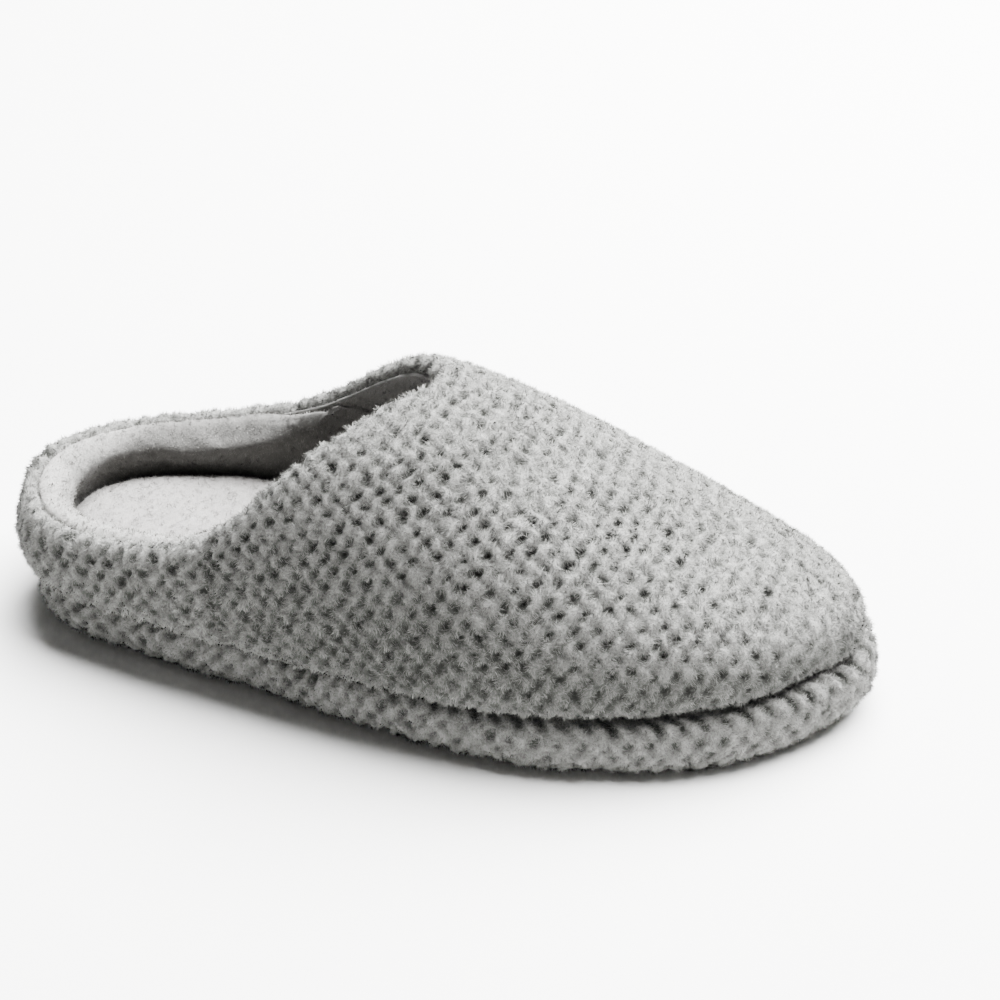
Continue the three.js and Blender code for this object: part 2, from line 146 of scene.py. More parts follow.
SETTINGS = {
    "view": SlipperView,
    "fleece": SlipperFleece,
    "plush": SlipperPlush,
    "underside": SlipperUnderside,
    "stage": SlipperStage,
}


def settings(group):
    return getattr(bpy.context.scene, "slipper_" + group)


# Mesh helpers

def only(piece):
    """Selects one piece alone and makes it the active one."""
    if bpy.context.object and bpy.context.object.mode != "OBJECT":
        bpy.ops.object.mode_set(mode="OBJECT")
    bpy.ops.object.select_all(action="DESELECT")
    piece.select_set(True)
    bpy.context.view_layer.objects.active = piece
    return piece


def modify(piece, kind, **values):
    """Adds a modifier with its values and applies it."""
    only(piece)
    modifier = piece.modifiers.new(kind.title(), kind)
    for name, value in values.items():
        setattr(modifier, name, value)
    bpy.ops.object.modifier_apply(modifier=modifier.name)
    return piece


def node_copy(node, name):
    """A copy of a CAD node's mesh as a new piece, its triangles merged and joined to quads."""
    piece = bpy.data.objects.new(name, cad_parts[node].data.copy())
    piece.data.name = name
    piece.data.materials.clear()
    bpy.context.collection.objects.link(piece)
    only(piece)
    bpy.ops.object.mode_set(mode="EDIT")
    bpy.ops.mesh.select_all(action="SELECT")
    bpy.ops.mesh.remove_doubles(threshold=0.02 * MM)
    bpy.ops.mesh.tris_convert_to_quads(face_threshold=math.radians(60), shape_threshold=math.radians(60))
    bpy.ops.object.mode_set(mode="OBJECT")
    return piece


def places(piece):
    flat = np.empty(len(piece.data.vertices) * 3, np.float32)
    piece.data.vertices.foreach_get("co", flat)
    return flat.reshape(-1, 3).astype(float)


def directions(piece):
    flat = np.empty(len(piece.data.vertices) * 3, np.float32)
    piece.data.vertex_normals.foreach_get("vector", flat)
    return flat.reshape(-1, 3).astype(float)


def put(piece, points):
    piece.data.vertices.foreach_set("co", points.astype(np.float32).ravel())
    piece.data.update()


def mark(piece, name, values):
    """Stores one number for each vertex, for the materials to read."""
    layer = piece.data.attributes.new(name, "FLOAT", "POINT")
    layer.data.foreach_set("value", values.astype(np.float32))


def smooth(low, high, value):
    share = np.clip((value - low) / (high - low), 0, 1)
    return share * share * (3 - 2 * share)


def wander(points, step, seed):
    """Smooth noise from -1 to 1 whose lumps are about one step across."""
    shift = Vector((seed * 7.3, seed * 3.1, seed * 5.7))
    scale = 1 / step
    return np.array([noise.noise(Vector(p) * scale + shift) for p in points])


def unit(vectors):
    return vectors / np.maximum(np.linalg.norm(vectors, axis=-1, keepdims=True), 1e-12)


# Cloth coordinates: where each point lies on the flat cloth

def skin_of(piece):
    """The outside of the upper as an open sheet, cut at the side seams and laid flat in its UV map."""
    sheet = bpy.data.objects.new("flat cloth", piece.data.copy())
    bpy.context.collection.objects.link(sheet)
    only(sheet)
    shell = bmesh.new()
    shell.from_mesh(sheet.data)
    hidden = []
    for face in shell.faces:
        centre = face.calc_center_median()
        core = Vector((min(max(centre.x, -0.09), 0.09), 0, 0.028))
        out = face.normal.dot((centre - core).normalized())
        if out < 0.05 or face.normal.z < -0.9:
            hidden.append(face)
    bmesh.ops.delete(shell, geom=hidden, context="FACES")
    for edge in shell.edges:
        sides = {seam_side(face.calc_center_median()) for face in edge.link_faces}
        edge.seam = len(sides) > 1
    shell.to_mesh(sheet.data)
    shell.free()
    bpy.ops.object.mode_set(mode="EDIT")
    bpy.ops.mesh.select_all(action="SELECT")
    bpy.ops.uv.unwrap(method="ANGLE_BASED", margin=0.02)
    bpy.ops.object.mode_set(mode="OBJECT")
    return sheet


# Places where the rows of each cloth run straight along the row direction
VAMP_MIDDLE = (0.03, -0.02, 0.075)
HEEL_SIDE = (-0.09, -0.045, 0.03)

SEAM_FOOT = -0.052
SEAM_LEAN = -0.25


def seam_side(point):
    """True in front of the side seams, which lean back as they rise."""
    return point[0] > SEAM_FOOT + SEAM_LEAN * (point[2] - 0.02)


def flat_places(sheet, points, row_way):
    """Place of each point on the flat cloth in metres, and its distance from the sheet.

    Rows of the cloth run along row_way, a direction in plan."""
    mesh = sheet.data
    mesh.calc_loop_triangles()
    corners = np.array([v.co for v in mesh.vertices])
    faces = np.array([t.vertices for t in mesh.loop_triangles])
    loops = np.array([t.loops for t in mesh.loop_triangles])
    flat = np.array([loop.uv for loop in mesh.uv_layers.active.data])[loops]
    solid = corners[faces]
    front = np.array([seam_side(c) for c in solid.mean(1)])
    chart = np.zeros_like(flat)
    for part, anchor in ((True, VAMP_MIDDLE), (False, HEEL_SIDE)):
        mine = front == part
        chart[mine] = straighten(flat[mine], solid[mine], row_way, anchor)
    tree = BVHTree.FromPolygons([Vector(c) for c in corners], [list(map(int, f)) for f in faces])
    found = [tree.find_nearest(Vector(p)) for p in points]
    index = np.array([f[2] for f in found])
    gap = np.array([f[3] for f in found])
    near = np.array([f[0] for f in found])
    a, b, c = (solid[index, i] for i in range(3))
    whole = np.linalg.norm(np.cross(b - a, c - a), axis=1)
    wa = np.linalg.norm(np.cross(b - near, c - near), axis=1) / whole
    wb = np.linalg.norm(np.cross(c - near, a - near), axis=1) / whole
    wc = np.clip(1 - wa - wb, 0, 1)
    uv = chart[index]
    return uv[:, 0] * wa[:, None] + uv[:, 1] * wb[:, None] + uv[:, 2] * wc[:, None], gap


def straighten(flat, solid, row_way, anchor):
    """Turns and scales one flat piece so that its unit is a metre and u runs along row_way."""
    span = solid.reshape(-1, 3)
    uv = flat.reshape(-1, 2)
    edge = np.linalg.norm(solid[:, 1] - solid[:, 0], axis=1)
    drawn = np.linalg.norm(flat[:, 1] - flat[:, 0], axis=1)
    scale = np.median(edge / np.maximum(drawn, 1e-9))
    middle = span[np.argmin(np.linalg.norm(span - np.array(anchor), axis=1))]
    close = np.linalg.norm(span - middle, axis=1) < 0.03
    away = uv[close] - uv[close].mean(0)
    grid, *_ = np.linalg.lstsq(away, span[close] - span[close].mean(0), rcond=None)
    way = np.linalg.pinv(grid.T) @ np.array([row_way[0], row_way[1], 0.0])
    way = way / np.linalg.norm(way)
    across = np.array([-way[1], way[0]])
    return np.stack([flat @ way, flat @ across], axis=-1) * scale


def popcorn(u, v, fleece):
    """Depth of the pits (0 to 1) and height of the bobbles (0 to 1) at a place on the flat cloth."""
    pit = np.zeros_like(u)
    mound = np.zeros_like(u)
    row = np.floor(v / fleece.row)
    for step in (-1, 0, 1, 2):
        j = row + step
        shift = 0.5 * np.mod(j, 2)
        i = np.round(u / fleece.pitch - shift)
        jitter = np.sin(i * 12.9898 + j * 78.233) * 43758.5453
        jitter = jitter - np.floor(jitter)
        other = np.sin(i * 39.346 + j * 11.135) * 24634.6345
        other = other - np.floor(other)
        du = u - (i + shift + 0.3 * (jitter - 0.5)) * fleece.pitch
        dv = v - (j + 0.3 * (other - 0.5)) * fleece.row
        turn = 0.3 + 0.9 * (jitter - 0.5)
        turned = du * np.cos(turn) + dv * np.sin(turn)
        upright = dv * np.cos(turn) - du * np.sin(turn)
        # A pit is a wedge, wider at its lower end
        along = np.clip(turned / fleece.pitch * 4, -1, 1)
        wide = fleece.pit_width * (1.15 + 0.7 * jitter) * (1 - 0.45 * along)
        tall = fleece.pit_width * (0.6 + 0.4 * other) * (1 - 0.5 * along)
        reach = (turned / wide) ** 2 + (upright / tall) ** 2
        pit = np.maximum(pit, np.exp(-reach) * (0.3 + 0.65 * other))
        half = np.round(u / fleece.pitch - shift - 0.5) + 0.5
        mu = (u - (half + shift) * fleece.pitch) / (0.56 * fleece.pitch)
        mv = (v - j * fleece.row) / (0.8 * fleece.row)
        mound = np.maximum(mound, np.sqrt(np.maximum(1 - mu ** 2 - mv ** 2, 0)))
    return np.clip(pit, 0, 1), mound


# Material helpers

def add_node(tree, kind, **values):
    """Adds a node. A value sets the node's own setting or its input, and a socket is linked to the input."""
    node = tree.nodes.new(kind)
    for name, value in values.items():
        if hasattr(node, name):
            setattr(node, name, value)
            continue
        socket = node.inputs[int(name[1:])] if name[0] == "i" and name[1:].isdigit() else node.inputs[name]
        if isinstance(value, bpy.types.NodeSocket):
            tree.links.new(value, socket)
        else:
            socket.default_value = value
    return node


def new_material(name, **values):
    material = bpy.data.materials.new(name)
    material.use_nodes = True
    shader = material.node_tree.nodes["Principled BSDF"]
    for socket, value in values.items():
        shader.inputs[socket.replace("_", " ")].default_value = value
    return material, material.node_tree, shader


def rgba(values):
    return (*values, 1.0)


def fleece_material(name, fleece):
    """Polyester popcorn fleece, knitted and brushed: matt, with soft light in its pile and painted shade in
    its pits, creases and steep sides.
    """
    material, tree, shader = new_material(name, Roughness=0.95, Specular_IOR_Level=0.1, Sheen_Weight=0.08,
                                          Sheen_Roughness=0.6)
    place = add_node(tree, "ShaderNodeTexCoord").outputs["Object"]
    # The dark attribute holds painted shade
    pit = add_node(tree, "ShaderNodeAttribute", attribute_name="dark").outputs["Fac"]
    # Brushed patches, about 25 mm across, and hairs of about 0.5 mm
    patch = add_node(tree, "ShaderNodeTexNoise", Vector=place, Scale=40.0, Detail=2.0).outputs["Fac"]
    hair = add_node(tree, "ShaderNodeTexNoise", Vector=place, Scale=1600.0, Detail=3.0,
                    Roughness=0.7).outputs["Fac"]
    clump = add_node(tree, "ShaderNodeTexNoise", Vector=place, Scale=520.0, Detail=2.0).outputs["Fac"]
    depth = add_node(tree, "ShaderNodeMapRange", Value=pit).outputs["Result"]
    tone = add_node(tree, "ShaderNodeMath", operation="MULTIPLY_ADD", i0=hair, i1=0.55, i2=depth).outputs[0]
    tone = add_node(tree, "ShaderNodeMath", operation="MULTIPLY_ADD", i0=patch, i1=0.25, i2=tone).outputs[0]
    ramp = add_node(tree, "ShaderNodeValToRGB", Fac=tone)
    ramp.color_ramp.elements[0].position = 0.3
    ramp.color_ramp.elements[0].color = rgba(fleece.light)
    ramp.color_ramp.elements[1].position = 1.35 / 1.6
    ramp.color_ramp.elements[1].color = rgba(fleece.dark)
    tree.links.new(ramp.outputs["Color"], shader.inputs["Base Color"])
    relief = add_node(tree, "ShaderNodeMath", operation="MULTIPLY_ADD", i0=clump, i1=1.5, i2=hair).outputs[0]
    bump = add_node(tree, "ShaderNodeBump", Height=relief, Strength=0.9, Distance=0.5 * MM).outputs["Normal"]
    tree.links.new(bump, shader.inputs["Normal"])
    return material


def plush_material(name, tint, grain=1.0):
    """Polyester plush with a short cut pile: matt, finely grained, with painted shade from the dark
    attribute.
    """
    material, tree, shader = new_material(name, Roughness=0.95, Specular_IOR_Level=0.1, Sheen_Weight=0.1,
                                          Sheen_Roughness=0.5)
    place = add_node(tree, "ShaderNodeTexCoord").outputs["Object"]
    # Cut pile of about 0.6 mm, brushed marks of about 12 mm
    fine = add_node(tree, "ShaderNodeTexNoise", Vector=place, Scale=1500.0, Detail=3.0,
                    Roughness=0.75).outputs["Fac"]
    marks = add_node(tree, "ShaderNodeTexNoise", Vector=place, Scale=85.0, Detail=3.0,
                     Distortion=0.6).outputs["Fac"]
    tone = add_node(tree, "ShaderNodeMath", operation="MULTIPLY_ADD", i0=marks, i1=0.5, i2=fine).outputs[0]
    ramp = add_node(tree, "ShaderNodeValToRGB", Fac=tone)
    ramp.color_ramp.elements[0].position = 0.45
    ramp.color_ramp.elements[0].color = rgba([c * (1 - 0.45 * grain) for c in tint])
    ramp.color_ramp.elements[1].position = 1.0
    ramp.color_ramp.elements[1].color = rgba([min(1, c * (1 + 0.15 * grain)) for c in tint])
    # Painted shade: the dark attribute darkens the plush towards a third of its tint
    painted_shade = add_node(tree, "ShaderNodeAttribute", attribute_name="dark").outputs["Fac"]
    shaded = add_node(tree, "ShaderNodeMix", data_type="RGBA", Factor=painted_shade, i6=ramp.outputs["Color"],
                      i7=rgba([c * 0.3 for c in tint]))
    tree.links.new(shaded.outputs[2], shader.inputs["Base Color"])
    bump = add_node(tree, "ShaderNodeBump", Height=fine, Strength=0.6 * grain,
                    Distance=0.4 * MM).outputs["Normal"]
    tree.links.new(bump, shader.inputs["Normal"])
    return material


def pile_material(name, root, tip):
    """The pile's own fibres: polyester hair, with painted shade towards the root."""
    material, tree, shader = new_material(name, Roughness=0.9, Specular_IOR_Level=0.15)
    along = add_node(tree, "ShaderNodeAttribute", attribute_name="along").outputs["Fac"]
    ramp = add_node(tree, "ShaderNodeValToRGB", Fac=along)
    ramp.color_ramp.elements[0].color = rgba(root)
    ramp.color_ramp.elements[1].position = 0.8
    ramp.color_ramp.elements[1].color = rgba(tip)
    tree.links.new(ramp.outputs["Color"], shader.inputs["Base Color"])
    return material


def plush_pile(tint, name, root=0.45):
    """Pile of the plush in its tint, with painted shade towards the root."""
    return pile_material(name, [c * root for c in tint], [min(1, c * 1.15) for c in tint])


def underside_material(grip):
    """Woven polyester with printed PVC dots: matt threads under small glossy domes."""
    material, tree, shader = new_material("dotted non-slip cloth", Roughness=0.7, Specular_IOR_Level=0.35)
    place = add_node(tree, "ShaderNodeTexCoord").outputs["Object"]
    dots = add_node(tree, "ShaderNodeTexVoronoi", Vector=place, voronoi_dimensions="2D", Scale=1 / grip.dot,
                    Randomness=0.0).outputs["Distance"]
    dome = add_node(tree, "ShaderNodeMapRange", Value=dots, i1=0.2, i2=0.3, i3=1.0, i4=0.0).outputs["Result"]
    weave = add_node(tree, "ShaderNodeTexWave", Vector=place, Scale=400.0, Distortion=0.4).outputs["Fac"]
    tint = add_node(tree, "ShaderNodeMix", data_type="RGBA", Factor=dome, i6=rgba(grip.cloth),
                    i7=rgba(grip.rubber))
    tree.links.new(tint.outputs[2], shader.inputs["Base Color"])
    relief = add_node(tree, "ShaderNodeMath", operation="MULTIPLY_ADD", i0=weave, i1=0.15,
                      i2=dome).outputs[0]
    bump = add_node(tree, "ShaderNodeBump", Height=relief, Strength=0.8, Distance=0.5 * MM).outputs["Normal"]
    tree.links.new(bump, shader.inputs["Normal"])
    return material


# Pile

def grow_pile(name, base, count, length, width, seed, density=None, lean=1.0, comb=(0.0, 0.0, 0.0),
              shade=None):
    """Blades of pile on a piece, as one mesh. Density and shade are numbers for each vertex of the base."""
    rng = np.random.default_rng(seed)
    base.data.calc_loop_triangles()
    tris = np.empty(len(base.data.loop_triangles) * 3, np.int32)
    base.data.loop_triangles.foreach_get("vertices", tris)
    tris = tris.reshape(-1, 3)
    co, no = places(base), directions(base)
    cover = np.ones(len(co)) if density is None else density
    first, second, third = (co[tris[:, i]] for i in range(3))
    area = 0.5 * np.linalg.norm(np.cross(second - first, third - first), axis=1)
    weight = area * cover[tris].mean(1)
    pick = rng.choice(len(tris), size=count, p=weight / weight.sum())
    r1 = np.sqrt(rng.random(count))
    r2 = rng.random(count)
    share = np.stack([1 - r1, r1 * (1 - r2), r1 * r2], axis=1)[:, :, None]
    root = (co[tris[pick]] * share).sum(1)
    normal = unit((no[tris[pick]] * share).sum(1))
    deep = np.zeros(len(co)) if shade is None else shade
    dark = (deep[tris[pick]] * share[:, :, 0]).sum(1)
    # Neighbouring blades lean the same way and make tufts
    cell = np.floor(root / (1.7 * MM) + 0.3 * rng.random((count, 3))).astype(np.int64)
    tuft = (cell[:, 0] * 73856093 ^ cell[:, 1] * 19349663 ^ cell[:, 2] * 83492791) % 8192
    flow = 0.7 * rng.normal(size=(8192, 3))[tuft] + 0.3 * rng.normal(size=(count, 3)) + np.array(comb)
    flow = unit(flow - normal * (flow * normal).sum(1, keepdims=True))
    tilt = lean * (0.6 + 0.9 * rng.random((count, 1)))
    way = unit(normal + flow * tilt)
    side = unit(np.cross(normal, way))
    long = length * (0.5 + 0.7 * rng.random((count, 1))) * (1 - 0.35 * dark[:, None])
    half = side * width * (0.3 + 0.4 * rng.random((count, 1)))
    foot = root - normal * 0.3 * MM
    points = np.stack([foot - half, foot + half, root + way * long], axis=1)
    facing = np.cross(points[:, 1] - points[:, 0], points[:, 2] - points[:, 0])
    flip = (facing * normal).sum(1) < 0
    points[flip, 0], points[flip, 1] = points[flip, 1].copy(), points[flip, 0].copy()
    mesh = bpy.data.meshes.new(name)
    mesh.from_pydata([], [], [])
    mesh.vertices.add(count * 3)
    mesh.loops.add(count * 3)
    mesh.polygons.add(count)
    mesh.vertices.foreach_set("co", points.astype(np.float32).ravel())
    mesh.loops.foreach_set("vertex_index", np.arange(count * 3, dtype=np.int32))
    mesh.polygons.foreach_set("loop_start", np.arange(0, count * 3, 3, dtype=np.int32))
    mesh.update(calc_edges=True)
    mesh.polygons.foreach_set("use_smooth", np.ones(count, bool))
    soft = unit(normal + 0.35 * rng.normal(size=(count, 3)) * 0.6)
    mesh.normals_split_custom_set_from_vertices(np.repeat(soft, 3, axis=0).astype(np.float32))
    piece = bpy.data.objects.new(name, mesh)
    bpy.context.collection.objects.link(piece)
    tone = 0.4 * rng.random(count) + 0.4 * rng.random(8192)[tuft]
    # Painted shade: each blade is darker towards its root, and darker where its base is shaded
    along = np.stack([0.4 - 0.5 * dark, 0.4 - 0.5 * dark, 1.3 - 0.8 * dark], axis=1) - tone[:, None]
    mark(piece, "along", np.clip(along, 0, 1).ravel())
    return piece


def dress(piece, material):
    piece.data.materials.clear()
    piece.data.materials.append(material)
    for polygon in piece.data.polygons:
        polygon.use_smooth = True
    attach(piece, "root")


class SlipperOperator:
    bl_options = {"REGISTER", "UNDO"}


class SLIPPER_OT_camera(SlipperOperator, bpy.types.Operator):
    """Puts the camera at the viewing angle."""
    bl_idname = "slipper.camera"
    bl_label = "Camera"

    def execute(self, context):
        seen = settings("view")
        cos, sin = math.cos(seen.elevation), math.sin(seen.elevation)
        back = Vector((math.sin(seen.azimuth) * cos, -math.cos(seen.azimuth) * cos, sin))
        aim = Vector((seen.aim_along, seen.aim_across, 0))
        bpy.ops.object.camera_add(location=aim + back * seen.distance)
        camera = context.object
        camera.rotation_euler = back.to_track_quat("Z", "Y").to_euler()
        camera.data.lens = seen.lens
        camera.data.sensor_width = 36
        context.scene.camera = camera
        return {"FINISHED"}


class SLIPPER_OT_upper(SlipperOperator, bpy.types.Operator):
    """Popcorn fleece of the vamp and the heel wall."""
    bl_idname = "slipper.upper"
    bl_label = "Fleece upper"

    def execute(self, context):
        fleece = settings("fleece")
        upper = node_copy("upper", "fleece_upper")
        sheet = skin_of(upper)
        modify(upper, "SUBSURF", levels=2, render_levels=2)
        modify(upper, "REMESH", mode="VOXEL", voxel_size=fleece.mesh_step)
        modify(upper, "SMOOTH", factor=0.5, iterations=6)
        points, normals = places(upper), directions(upper)
        row_way = (math.cos(fleece.row_turn), math.sin(fleece.row_turn))
        flat, gap = flat_places(sheet, points, row_way)
        bpy.data.objects.remove(sheet)
        worn = wander(points, 26 * MM, 3)
        bend_u = (wander(points, 30 * MM, 5) * 1.4 + wander(points, 7 * MM, 9) * 1.7) * MM
        bend_v = (wander(points, 30 * MM, 6) * 1.4 + wander(points, 7 * MM, 10) * 1.2) * MM
        pit, mound = popcorn(flat[:, 0] + bend_u, flat[:, 1] + bend_v, fleece)
        outside = 1 - smooth(0.6 * MM, 3.0 * MM, gap)
        foot = smooth(19 * MM, 27 * MM, points[:, 2])
        toe = smooth(60 * MM, 110 * MM, points[:, 0])
        brushed = np.maximum(smooth(0.05, 0.4, worn + 0.2 * toe) * smooth(-36 * MM, -5 * MM, points[:, 1]),
                             0.7 * smooth(0, 35 * MM, points[:, 1]))
        keep = outside * (0.25 + 0.75 * foot) * (1 - 0.75 * brushed)
        lumps = wander(points, 2.6 * MM, 8) * 0.35 * MM
        from_seam = points[:, 0] - SEAM_FOOT - SEAM_LEAN * (points[:, 2] - 0.02)
        seam = np.exp(-(from_seam / (2.2 * MM)) ** 2) * outside
        lift = fleece.bobble * mound * keep - fleece.pit_depth * pit * keep + lumps * outside
        lift -= 1.6 * MM * seam
        put(upper, points + normals * lift[:, None])
        # Painted shade in the creases between the bobbles, less where the cloth is brushed
        creases = 0.4 * (1 - mound) * outside * (1 - 0.5 * brushed)
        # Painted shade: the steep sides are darker than the top, more so towards the heel
        steep = 1 - smooth(0.1, 0.75, normals[:, 2])
        painted_shade = steep * (0.18 + 0.12 * smooth(-60 * MM, -10 * MM, points[:, 0]))
        # The dark attribute: painted shade in the pits, the creases and on the steep sides, and a little
        # darker along the seam
        mark(upper, "dark", np.clip(pit * keep + creases + 0.15 * seam + painted_shade, 0, 1))
        dress(upper, fleece_material("popcorn fleece", fleece))
        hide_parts("upper")
        cover = outside * (1 - 0.55 * pit * keep)
        pile = grow_pile("upper_pile", upper, fleece.blades, fleece.pile, 0.27 * MM, 11, density=cover,
                         lean=1.5, comb=(0.2, -0.1, -0.35),
                         shade=np.clip(pit * keep + 0.55 * (1 - mound) + painted_shade, 0, 1))
        dress(pile, pile_material("fleece pile", fleece.dark, fleece.light))
        return {"FINISHED"}


class SLIPPER_OT_sole(SlipperOperator, bpy.types.Operator):
    """Popcorn fleece round the side of the foam sole."""
    bl_idname = "slipper.sole"
    bl_label = "Fleece sole"

    def execute(self, context):
        fleece = settings("fleece")
        sole = node_copy("sole", "fleece_sole")
        modify(sole, "SUBSURF", levels=1, render_levels=1)
        modify(sole, "REMESH", mode="VOXEL", voxel_size=fleece.mesh_step * 1.08)
        modify(sole, "SMOOTH", factor=0.5, iterations=4)
        points, normals = places(sole), directions(sole)
        round_about, inset = around(points)
        side = smooth(0.25, 0.7, np.hypot(normals[:, 0], normals[:, 1]))
        side = np.maximum(side, smooth(0.2, 0.6, normals[:, 2]) * (1 - smooth(10 * MM, 14 * MM, inset)))
        height = points[:, 2] - 0.7 * np.maximum(inset - 3 * MM, 0) + 1.0 * MM
        pit, mound = popcorn(round_about, height, fleece)
        worn = smooth(0.1, 0.5, wander(points, 24 * MM, 13))
        keep = side * (1 - 0.5 * worn)
        lumps = wander(points, 2.6 * MM, 18) * 0.35 * MM
        lift = fleece.bobble * mound * keep - 0.85 * fleece.pit_depth * pit * keep + lumps * side
        # The rounded bottom edge hangs unevenly over the floor
        under = 1 - smooth(1 * MM, 6 * MM, points[:, 2])
        moved = points + normals * lift[:, None]
        flat_part = smooth(0.75, 0.95, -normals[:, 2])
        hang = wander(np.stack([round_about, inset, 0 * inset], axis=1), 7 * MM, 21)
        moved[:, 2] += 0.9 * MM * flat_part + 1.1 * MM * under * (1 - flat_part) * (hang - 0.2)
        moved[:, 2] = np.maximum(moved[:, 2], 0.05 * MM)
        put(sole, moved)
        # Painted shade in the pits and in the creases between the bobbles
        mark(sole, "dark", np.clip(pit * keep + 0.4 * (1 - mound) * side, 0, 1))
        dress(sole, fleece_material("popcorn fleece sole", fleece))
        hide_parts("sole")
        pile = grow_pile("sole_pile", sole, fleece.side_blades, fleece.pile * 0.9, 0.27 * MM, 12, lean=1.5,
                         density=side * (1 - 0.5 * pit * keep), comb=(0.2, 0.0, -0.3),
                         shade=np.clip(pit * keep + 0.6 * (1 - mound), 0, 1))
        flat = places(pile)
        flat[:, 2] = np.maximum(flat[:, 2], 0.02 * MM)
        put(pile, flat)
        dress(pile, pile_material("sole pile", fleece.dark, fleece.light))
        return {"FINISHED"}


def around(points):
    """How far round the sole's side each point lies, from the heel, and how far inside the outline."""
    lo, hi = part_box("sole")
    middle = np.array([(lo.x + hi.x) / 2, (lo.y + hi.y) / 2])
    spread = np.array([(v.co.x, v.co.y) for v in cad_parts["sole"].data.vertices]) - middle
    spread = spread[convex_hull_2d([Vector(p) for p in spread])]
    angle = np.arctan2(spread[:, 1], spread[:, 0])
    order = np.argsort(angle)
    ring = np.concatenate([spread[order], spread[order[:1]]])
    turns = np.append(angle[order], angle[order[0]] + 2 * math.pi)
    length = np.concatenate([[0], np.cumsum(np.linalg.norm(np.diff(ring, axis=0), axis=1))])
    mine = np.arctan2(points[:, 1] - middle[1], points[:, 0] - middle[0])
    mine = np.where(mine < turns[0], mine + 2 * math.pi, mine)
    reach = np.interp(mine, turns, np.linalg.norm(ring, axis=1))
    return np.interp(mine, turns, length), reach - np.linalg.norm(points[:, :2] - middle, axis=1)


def puffed(piece, limit):
    """Lets a pad swell by air pressure in a short cloth simulation, and keeps it near its solid."""
    start = places(piece)
    only(piece)
    cloth = piece.modifiers.new("Cloth", "CLOTH")
    cloth.settings.quality = 4
    cloth.settings.use_pressure = True
    cloth.settings.uniform_pressure_force = 4
    cloth.settings.effector_weights.gravity = 0
    cloth.settings.mass = 0.2
    cloth.settings.tension_stiffness = 12
    for step in range(1, 15):
        bpy.context.scene.frame_set(step)
    bpy.ops.object.modifier_apply(modifier=cloth.name)
    bpy.context.scene.frame_set(1)
    end = places(piece)
    move = end - start
    far = np.linalg.norm(move, axis=1, keepdims=True)
    put(piece, start + move * np.minimum(1, limit / np.maximum(far, 1e-9)))
    return piece


def raise_to_rim(points):
    """Lifts the collar's plush to the rim, which stands higher than the pad towards the throat."""
    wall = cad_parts["upper"].data
    corners = np.array([v.co for v in wall.vertices])
    steps = np.arange(-0.13, 0.02, 0.004)
    for sign in (-1, 1):
        mine = np.sign(points[:, 1]) == sign
        side = corners[corners[:, 1] * sign > 0]
        rim = [side[abs(side[:, 0] - x) < 0.005, 2].max() for x in steps]
        top = [points[mine & (abs(points[:, 0] - x) < 0.005), 2].max(initial=0.02) for x in steps]
        raised = np.clip(np.array(rim) - 3.0 * MM - np.array(top), 0, 12 * MM)
        level = (points[mine, 2] - 0.018) / (np.interp(points[mine, 0], steps, top) - 0.018)
        forward = smooth(-105 * MM, -80 * MM, points[mine, 0])
        forward = forward * (1 - smooth(-50 * MM, -10 * MM, points[mine, 0]))
        points[mine, 2] += np.interp(points[mine, 0], steps, raised) * np.clip(level, 0, 1) * forward


def lay_on_lining(points):
    """Lets the pad run out flush on the lining under the throat, on the wearer's side of it."""
    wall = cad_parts["upper"].data
    shell = bmesh.new()
    shell.from_mesh(wall)
    bmesh.ops.delete(shell, geom=[face for face in shell.faces if not inside(face)], context="FACES")
    tree = BVHTree.FromBMesh(shell)
    shell.free()
    found = [tree.find_nearest(Vector(p)) for p in points]
    near = np.array([hit[0] for hit in found])
    inward = np.array([hit[1] for hit in found])
    depth = ((points - near) * inward).sum(1)
    fade = smooth(-75 * MM, -30 * MM, points[:, 0])
    flush = np.where(depth > 3 * MM, 1.4 * MM, 0.3 * MM)
    wanted = np.maximum(depth * (1 - fade) + flush * fade, 0.3 * MM)
    points += inward * ((wanted - depth) * smooth(-95 * MM, -70 * MM, points[:, 0]))[:, None]


class SLIPPER_OT_collar(SlipperOperator, bpy.types.Operator):
    """Plush pad that rolls over the inside of the heel wall."""
    bl_idname = "slipper.collar"
    bl_label = "Heel collar"

    def execute(self, context):
        plush = settings("plush")
        collar = node_copy("heel_collar", "plush_collar")
        modify(collar, "SUBSURF", levels=1, render_levels=1)
        modify(collar, "REMESH", mode="VOXEL", voxel_size=plush.mesh_step * 1.4)
        puffed(collar, plush.puff)
        modify(collar, "SUBSURF", levels=1, render_levels=1)
        points, normals = places(collar), directions(collar)
        raise_to_rim(points)
        lay_on_lining(points)
        crown = smooth(0.1, 0.9, normals[:, 2]) * (1 - smooth(-75 * MM, -50 * MM, points[:, 0]))
        outward = unit(np.stack([points[:, 0] + 0.06, points[:, 1], np.zeros(len(points))], axis=1))
        points += outward * (4.6 * MM * crown)[:, None]
        points[:, 2] += 0.9 * MM * crown
        lumps = wander(points, 11 * MM, 31) * 0.7 * MM + wander(points, 3 * MM, 32) * 0.2 * MM
        put(collar, points + normals * lumps[:, None])
        # Painted shade: steep sides darker than the crown, and the far wall dark up to the rim
        far = smooth(-10 * MM, 12 * MM, points[:, 1]) * smooth(-118 * MM, -102 * MM, points[:, 0])
        painted_wall_shade = 0.9 - (0.9 - 0.75 * far) * smooth(0.1 + 0.3 * far, 0.75 + 0.2 * far, normals[:, 2])
        mark(collar, "dark", painted_wall_shade)
        dress(collar, plush_material("short plush", plush.collar))
        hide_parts("heel_collar")
        pile = grow_pile("collar_pile", collar, plush.blades, plush.pile, 0.25 * MM, 13, shade=painted_wall_shade)
        dress(pile, plush_pile(plush.collar, "collar pile"))
        return {"FINISHED"}


